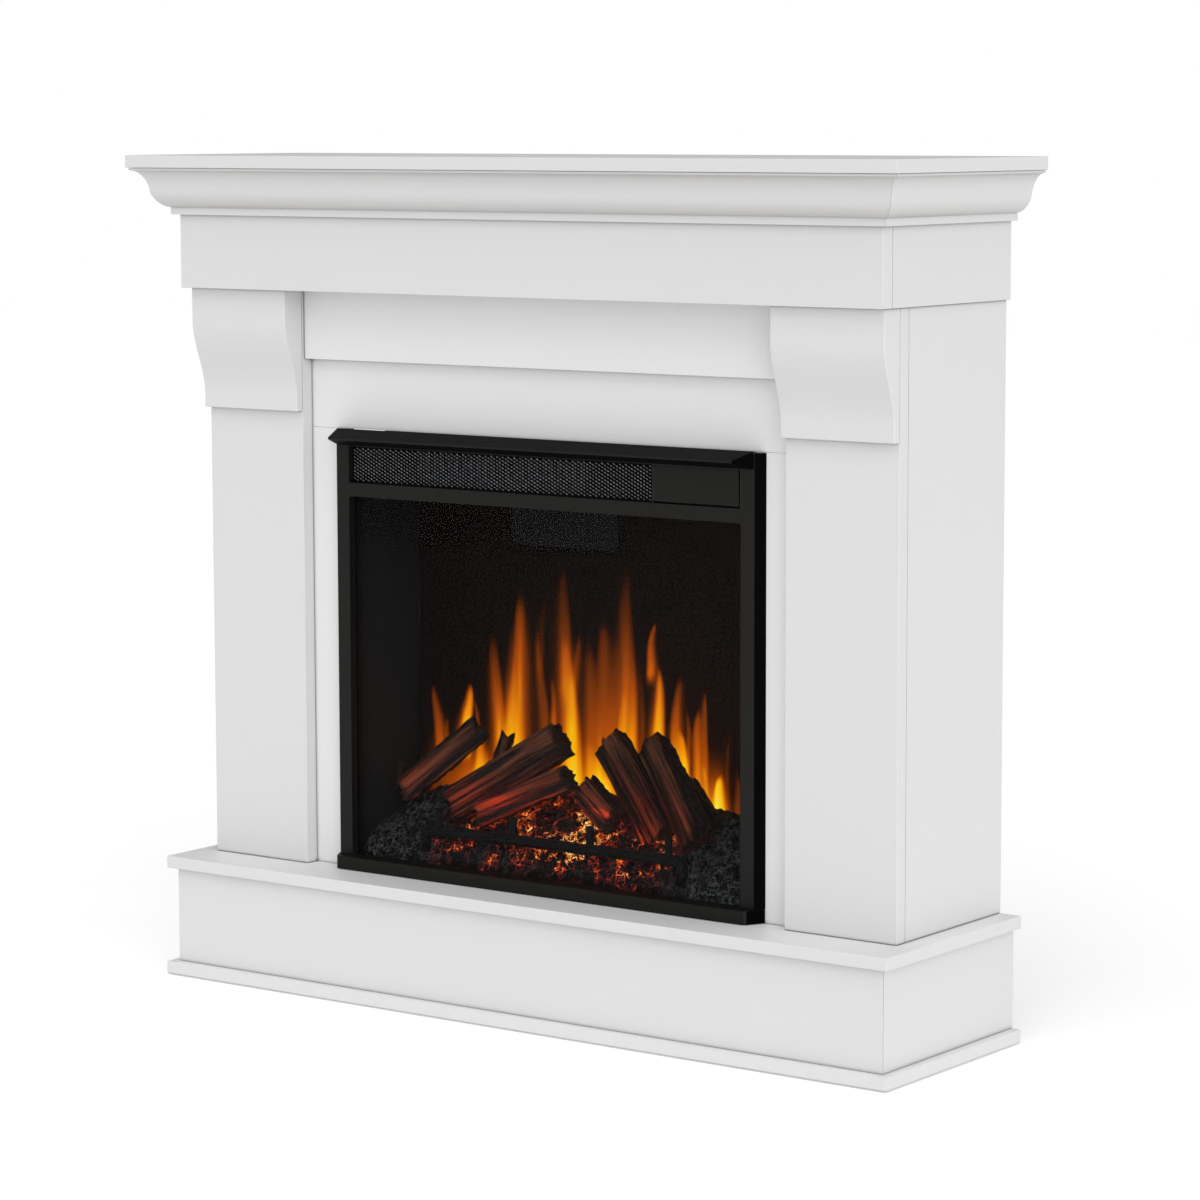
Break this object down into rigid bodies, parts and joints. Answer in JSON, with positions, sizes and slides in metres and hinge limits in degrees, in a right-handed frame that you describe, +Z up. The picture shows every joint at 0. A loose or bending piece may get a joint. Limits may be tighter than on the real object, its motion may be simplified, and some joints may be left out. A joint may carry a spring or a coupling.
{
  "type": "electric fireplace",
  "caption": "White panelled mantel surround with a black electric firebox insert: log bed, flame screen, vent mesh and a drop-down control flap.",
  "frame": {"origin": "middle of the footprint at floor level", "axes": "+Z up, +X to the right as seen from the front, +Y back towards the wall; the front faces -Y"},
  "size_m": [1.039, 0.3, 0.955],
  "materials": {
    "white_mdf": "satin white paint on MDF",
    "black_trim": "satin black powder coat",
    "hood_trim": "satin brown-black powder coat",
    "vent_mesh": "woven black wire mesh, worn bright on its crests",
    "front_glass": "clear tempered glass",
    "black_plastic": "fine texture",
    "steel": "bright",
    "switch_plastic": "fine texture",
    "circuit_board": "green solder mask",
    "firebox_black": "matt black",
    "flame_screen": "smoked acrylic lit from behind by the flame picture",
    "embers": "crusted resin, glowing red from below",
    "grate_black": "matt black",
    "log_resin": "moulded and painted as split wood",
    "galvanised": "zinc plated",
    "heater_block": "bare fins"
  },
  "bodies": {
    "cabinet": {"shelf_top": "white_mdf", "crown_front": "white_mdf", "crown_left": "white_mdf", "crown_right": "white_mdf", "header_front": "white_mdf", "header_left": "white_mdf", "header_right": "white_mdf", "header_soffit": "white_mdf", "corbel_left": "white_mdf", "corbel_right": "white_mdf", "pilaster_left": "white_mdf", "pilaster_right": "white_mdf", "side_panel_left": "white_mdf", "side_panel_right": "white_mdf", "surround_top": "white_mdf", "surround_left": "white_mdf", "surround_right": "white_mdf", "lintel_panel": "white_mdf", "hearth_board": "white_mdf", "base_front": "white_mdf", "base_left": "white_mdf", "base_right": "white_mdf", "bottom_board": "white_mdf", "insert_frame": "black_trim", "insert_sill": "black_trim", "insert_hood": "hood_trim", "vent_grille": "vent_mesh", "glass_front": "front_glass", "control_pocket": "black_plastic", "door_hinge_pin": "steel", "control_board": "circuit_board", "casing_left": "firebox_black", "casing_right": "firebox_black", "casing_lid": "firebox_black", "casing_base": "firebox_black", "rear_cover": "firebox_black", "firebox_ceiling": "firebox_black", "heat_baffle": "firebox_black", "cord_gland": "black_plastic", "flame_screen": "flame_screen", "ember_bed": "embers", "grate": "grate_black", "log_back_left": "log_resin", "log_centre": "log_resin", "log_front": "log_resin", "log_split": "log_resin", "log_right_centre": "log_resin", "log_right": "log_resin", "spindle_motor": "galvanised", "spindle_bearing": "black_plastic", "led_strip": "circuit_board", "blower_motor": "galvanised", "heater_element": "heater_block"},
    "door": {"control_door": "black_trim"},
    "rocker": {"power_rocker": "switch_plastic"},
    "flame_button": {"button_flame": "switch_plastic"},
    "heat_button": {"button_heat": "switch_plastic"},
    "timer_button": {"button_timer": "switch_plastic"},
    "spindle": {"flame_spindle": "steel"},
    "blower": {"blower_wheel": "galvanised"}
  },
  "joints": [
    {"name": "door_hinge", "type": "hinge", "parent": "cabinet", "child": "door", "pos_m": [0.2106, -0.053, 0.5895], "axis": [1, 0, 0], "range_deg": [0, 90]},
    {"name": "rocker_pivot", "type": "hinge", "parent": "cabinet", "child": "rocker", "pos_m": [0.1776, -0.0201, 0.60595], "axis": [1, 0, 0], "range_deg": [-8, 8]},
    {"name": "flame_button_press", "type": "slide", "parent": "cabinet", "child": "flame_button", "axis": [0, 1, 0], "range_m": [0, 0.0015], "stiffness_N_per_m": 300},
    {"name": "heat_button_press", "type": "slide", "parent": "cabinet", "child": "heat_button", "axis": [0, 1, 0], "range_m": [0, 0.0015], "stiffness_N_per_m": 300},
    {"name": "timer_button_press", "type": "slide", "parent": "cabinet", "child": "timer_button", "axis": [0, 1, 0], "range_m": [0, 0.0015], "stiffness_N_per_m": 300},
    {"name": "spindle_turn", "type": "hinge", "parent": "cabinet", "child": "spindle", "pos_m": [0, 0.095, 0.2148], "axis": [1, 0, 0], "continuous": true},
    {"name": "blower_turn", "type": "hinge", "parent": "cabinet", "child": "blower", "pos_m": [0, 0.04, 0.60985], "axis": [1, 0, 0], "continuous": true}
  ]
}
